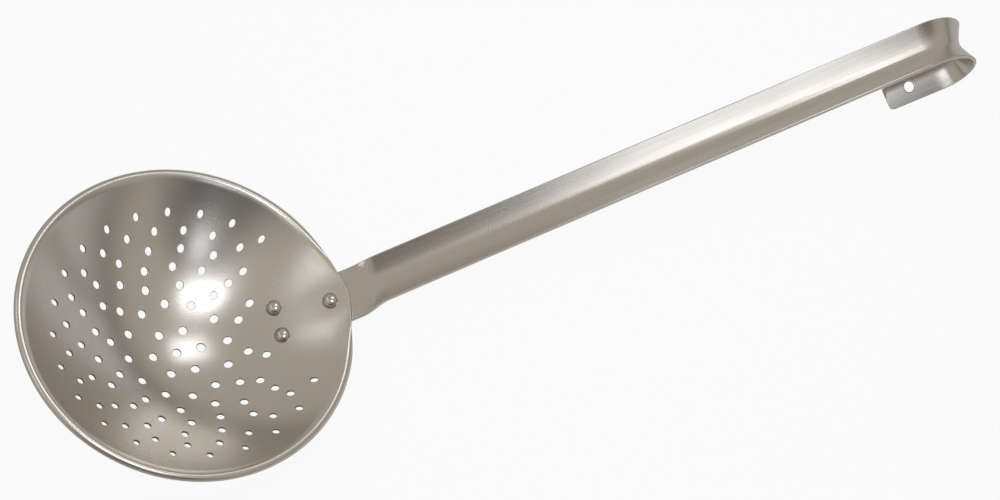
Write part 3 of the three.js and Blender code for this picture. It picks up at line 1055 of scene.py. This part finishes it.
class SKIMMER_OT_rivets(bpy.types.Operator):
    """Make the three rivets with polished heads and closed tails"""

    bl_idname = "skimmer.rivets"
    bl_label = "Rivets"

    dome_steps = 14
    soft = 0.08 * MM
    # Hollow in the tail: its depth, and parts of the tail's radius and of that depth
    hollow = 0.12 * MM
    hollow_line = ((0.0, 1.0), (0.28, 0.9), (0.5, 0.25), (0.62, 0.0))

    def execute(self, context):
        shape = BowlShape(context.scene)
        steel = rivet_steel(context.scene.skimmer_finish)
        outline = self.outline(shape)
        laid = shape.laid_down()
        for name, at in shape.rivet_places():
            made = self.turned(name + "_steel", outline, laid @ shape.on_wall(at.x, at.y))
            seat_piece(made, name, steel)
        return {"FINISHED"}

    def outline(self, shape):
        """Half outline from the middle of the tail up to the top of the dome."""
        sizes = shape.rivet
        gap = sizes.seating
        strip_floor = -(shape.bowl.sheet + sizes.fit_gap + shape.handle.strip)
        tail_floor = strip_floor - sizes.fit_gap - sizes.tail_height
        tail = sizes.tail_diameter / 2
        shank = sizes.shank_diameter / 2
        head = sizes.head_diameter / 2
        chamfer = sizes.tail_chamfer
        soft = self.soft
        points = [(tail * out, tail_floor + self.hollow * up) for out, up in self.hollow_line]
        points += [
            (tail - chamfer - soft, tail_floor),
            (tail - chamfer + soft / 2, tail_floor + soft / 2),
            (tail - soft / 2, tail_floor + chamfer - soft),
            (tail, tail_floor + chamfer + soft / 2),
            (tail, strip_floor - gap - soft),
            (tail - soft, strip_floor - gap),
            (shank, strip_floor - gap),
            (shank, gap),
            (head - soft, gap),
            (head, gap + soft),
        ]
        rise = sizes.fit_gap + sizes.head_height - gap - soft
        for i in range(1, self.dome_steps + 1):
            turn = math.pi / 2 * i / self.dome_steps
            points.append((head * math.cos(turn), gap + soft + rise * math.sin(turn)))
        points[-1] = (0.0, points[-1][1])
        return points

    @staticmethod
    def turned(name, outline, matrix):
        """Turns a half outline about Z into a closed mesh, in its place."""
        points, faces, rows = [], [], []
        for radius, height in outline:
            ring = circle(radius, RIVET_SIDES if radius else 1)
            rows.append(range(len(points), len(points) + len(ring)))
            points += [(x, y, height) for x, y in ring]
        for below, above in zip(rows, rows[1:]):
            for i in range(RIVET_SIDES):
                pairs = ((below, i), (below, i + 1), (above, i + 1), (above, i))
                corners = [row[place % len(row)] for row, place in pairs]
                faces.append(list(dict.fromkeys(corners)))
        mesh = bpy.data.meshes.new(name)
        mesh.from_pydata(points, [], faces)
        mesh.transform(matrix)
        mesh.shade_smooth()
        return add_object(name, mesh)


class SKIMMER_OT_stage(bpy.types.Operator):
    """Make the floor, the light and the camera"""

    bl_idname = "skimmer.stage"
    bl_label = "Stage"

    # Camera in the bowl's frame
    camera_place = (-0.27583106, -0.32703208, 0.77406565)
    camera_right = (0.8853, -0.3093, 0.3473)
    camera_up = (0.1297, 0.8813, 0.4544)
    # How white the floor and the room are to the camera and in reflections
    floor_seen, floor_mirrored = 0.93, 0.25
    room_seen, room_mirrored = 1.0, 0.03
    floor_white = (1.0, 1.0, 1.0, 1.0)
    room_white = (0.96, 0.96, 0.96, 1.0)
    # The room low down: heights where it is dimmest and full, and its levels there
    low_room = (0.0, 0.28, 0.26, 1.0)
    # Dimmer sides of the room: direction, the dot products where it starts and is full, level
    dim_sides = (
        ((0.19, -0.71, 0.68), 0.86, 0.98, 0.24),
        ((-0.36, -0.6, 0.714), 0.94, 0.985, 0.365),
    )
    # Watts per square metre of a lamp with brightness 1
    lamp_power = 4.0
    # Lamps: name, place, aim, the way that its width runs, width, height and brightness
    bowl_lamps = (
        ("key_lamp", (0.043, -0.068, 0.417), (-0.134, 0.024, 0.012),
         (0.833, -0.354, -0.426), 0.165, 0.05, 7.2),
        ("side_lamp", (0.152, 0.185, 0.38), (-0.135, 0.0, 0.02),
         (0.6, -0.1, -0.5), 0.2, 0.15, 1.6),
        ("small_lamp", (0.04, -0.258, 0.43), (-0.13, 0.038, 0.017),
         (0.833, -0.354, -0.426), 0.075, 0.055, 2.5),
        ("far_lamp", (-0.335, 0.075, 0.63), (-0.089, 0.019, 0.007),
         (0.0, 1.0, 0.0), 0.18, 0.06, 1.7),
        ("near_lamp", (-0.332, 0.355, 0.56), (-0.088, -0.01, 0.006),
         (0.0, 1.0, 0.0), 0.13, 0.06, 2.1),
    )
    handle_lamps = (
        ("handle_lamp", (0.04, -0.14, 0.42), (0.09, 0.0, 0.03),
         (1.0, 0.0, 0.0), 0.21, 0.31, 1.2),
        ("hook_lamp", (0.125, 0.11, 0.42), (0.15, 0.0, 0.04),
         (1.0, 0.0, 0.0), 0.09, 0.26, 1.35),
        ("edge_lamp", (0.07, 0.6, 0.12), (0.1, 0.0, 0.03),
         (1.0, 0.0, 0.0), 0.26, 0.05, 0.5),
    )

    def execute(self, context):
        scene = context.scene
        stage = scene.skimmer_stage
        self.floor(stage)
        self.surround(scene, stage)
        handle = [bpy.data.objects["handle_strip"]]
        others = [made for made in scene.objects if made.type == "MESH" and made not in handle]
        self.light(stage, "handle_lit", handle, self.handle_lamps)
        self.light(stage, "bowl_lit", others, self.bowl_lamps)
        self.camera(scene, stage)
        scene.view_settings.view_transform = "Standard"
        return {"FINISHED"}

    def floor(self, stage):
        """A round pale floor that keeps a faint shadow."""
        points = [(x, y, 0.0) for x, y in circle(stage.floor_radius, FLOOR_SIDES)]
        mesh = bpy.data.meshes.new("floor")
        mesh.from_pydata(points, [], [list(range(FLOOR_SIDES))])
        material, shade = new_material("floor_paper")
        matt = shade.node("ShaderNodeBsdfDiffuse", {}, {"Color": opaque(stage.floor)})
        white = shade.node("ShaderNodeEmission", {}, {"Color": self.floor_white})
        surface = self.whitened(shade, matt, white, self.floor_seen, self.floor_mirrored)
        shade.node("ShaderNodeOutputMaterial", {}, {"Surface": surface})
        mesh.materials.append(material)
        add_object("floor", mesh)

    def surround(self, scene, stage):
        """Even light from all round, dimmer low down and on the near side of the room.

        The camera sees white instead.
        """
        world = bpy.data.worlds.new("surround")
        world.use_nodes = True
        shade = Shade(world.node_tree)
        facing = shade.node("ShaderNodeTexCoord").out("Generated")
        level = self.ramp(shade, shade.axes(facing)[2], *self.low_room)
        for side, start, full, dimmed in self.dim_sides:
            sockets = {0: facing, 1: side}
            dot = shade.node("ShaderNodeVectorMath", {"operation": "DOT_PRODUCT"}, sockets)
            level = level * self.ramp(shade, dot.out("Value"), start, full, 1.0, dimmed)
        tone = shade.blend(level, (0.0, 0.0, 0.0, 1.0), opaque(stage.surround))
        light = shade.node("ShaderNodeBackground", {}, {"Color": tone})
        white = shade.node("ShaderNodeBackground", {}, {"Color": self.room_white})
        surface = self.whitened(shade, light, white, self.room_seen, self.room_mirrored)
        shade.node("ShaderNodeOutputWorld", {}, {"Surface": surface})
        scene.world = world

    @staticmethod
    def whitened(shade, plain, white, seen, mirrored):
        """A surface that is white by one share to the camera and by another in reflections."""
        rays = shade.node("ShaderNodeLightPath")
        bounced = rays.out("Is Glossy Ray") + rays.out("Is Transmission Ray")
        part = rays.out("Is Camera Ray") * seen + bounced * mirrored
        return shade.node("ShaderNodeMixShader", {}, {0: part, 1: plain, 2: white})

    @staticmethod
    def ramp(shade, value, low, high, at_low, at_high):
        """A smooth step from one level to another."""
        sockets = {
            "Value": value,
            "From Min": low,
            "From Max": high,
            "To Min": at_low,
            "To Max": at_high,
        }
        return shade.node("ShaderNodeMapRange", {"interpolation_type": "SMOOTHSTEP"}, sockets)

    def light(self, stage, name, pieces, lamps):
        """Lamps that light only some pieces, so that each piece gets its own highlights."""
        lit = bpy.data.collections.new(name)
        for piece in pieces:
            lit.objects.link(piece)
        for lamp in lamps:
            self.lamp(stage, *lamp).light_linking.receiver_collection = lit

    def lamp(self, stage, name, place, aim, run, width, height, brightness):
        """A soft panel lamp that faces its aim."""
        light = bpy.data.lights.new(name, "AREA")
        light.shape = "RECTANGLE"
        light.size, light.size_y = width, height
        light.energy = self.lamp_power * brightness * width * height
        light.color = stage.lamp
        made = add_object(name, light)
        back = (Vector(place) - Vector(aim)).normalized()
        up = back.cross(Vector(run)).normalized()
        turn = Matrix((up.cross(back), up, back)).transposed().to_4x4()
        made.matrix_world = Matrix.Translation(place) @ turn
        made.visible_camera = False
        return made

    def camera(self, scene, stage):
        """The camera at the photograph's viewing angle, placed in the bowl's frame."""
        data = bpy.data.cameras.new("camera")
        data.sensor_fit = "HORIZONTAL"
        data.sensor_width = 36.0
        data.lens = stage.lens
        data.clip_start, data.clip_end = 0.01, 50.0
        made = add_object("camera", data)
        right = Vector(self.camera_right).normalized()
        back = right.cross(Vector(self.camera_up)).normalized()
        up = back.cross(right)
        turn = Matrix((right, up, back)).transposed().to_4x4()
        at = Matrix.Translation(Vector(self.camera_place))
        made.matrix_world = BowlShape(scene).laid_down() @ at @ turn
        scene.camera = made


class SKIMMER_PT_sidebar(bpy.types.Panel):
    """Lists the skimmer's pieces and sizes"""

    bl_idname = "SKIMMER_PT_sidebar"
    bl_label = "Skimmer"
    bl_space_type = "VIEW_3D"
    bl_region_type = "UI"
    bl_category = "Skimmer"

    def draw(self, context):
        for operator in OPERATORS:
            self.layout.operator(operator.bl_idname)
        for name, group in GROUPS:
            settings = getattr(context.scene, name)
            box = self.layout.box()
            for field in group.__annotations__:
                box.prop(settings, field)


GROUPS = (
    ("skimmer_bowl", SkimmerBowlSizes),
    ("skimmer_handle", SkimmerHandleSizes),
    ("skimmer_rivets", SkimmerRivetSizes),
    ("skimmer_finish", SkimmerFinish),
    ("skimmer_stage", SkimmerStage),
)
OPERATORS = (SKIMMER_OT_bowl, SKIMMER_OT_handle, SKIMMER_OT_rivets, SKIMMER_OT_stage)


def register():
    """Registers the classes and hangs the sizes on the scene."""
    for name, group in GROUPS:
        bpy.utils.register_class(group)
        setattr(bpy.types.Scene, name, PointerProperty(type=group))
    for operator in OPERATORS:
        bpy.utils.register_class(operator)
    bpy.utils.register_class(SKIMMER_PT_sidebar)


def unregister():
    """Takes everything off again."""
    bpy.utils.unregister_class(SKIMMER_PT_sidebar)
    for operator in reversed(OPERATORS):
        bpy.utils.unregister_class(operator)
    for name, group in reversed(GROUPS):
        delattr(bpy.types.Scene, name)
        bpy.utils.unregister_class(group)


def main():
    """Makes the pieces and the stage."""
    register()
    bpy.ops.skimmer.bowl()
    bpy.ops.skimmer.handle()
    bpy.ops.skimmer.rivets()
    bpy.ops.skimmer.stage()


if __name__ == "__main__":
    main()
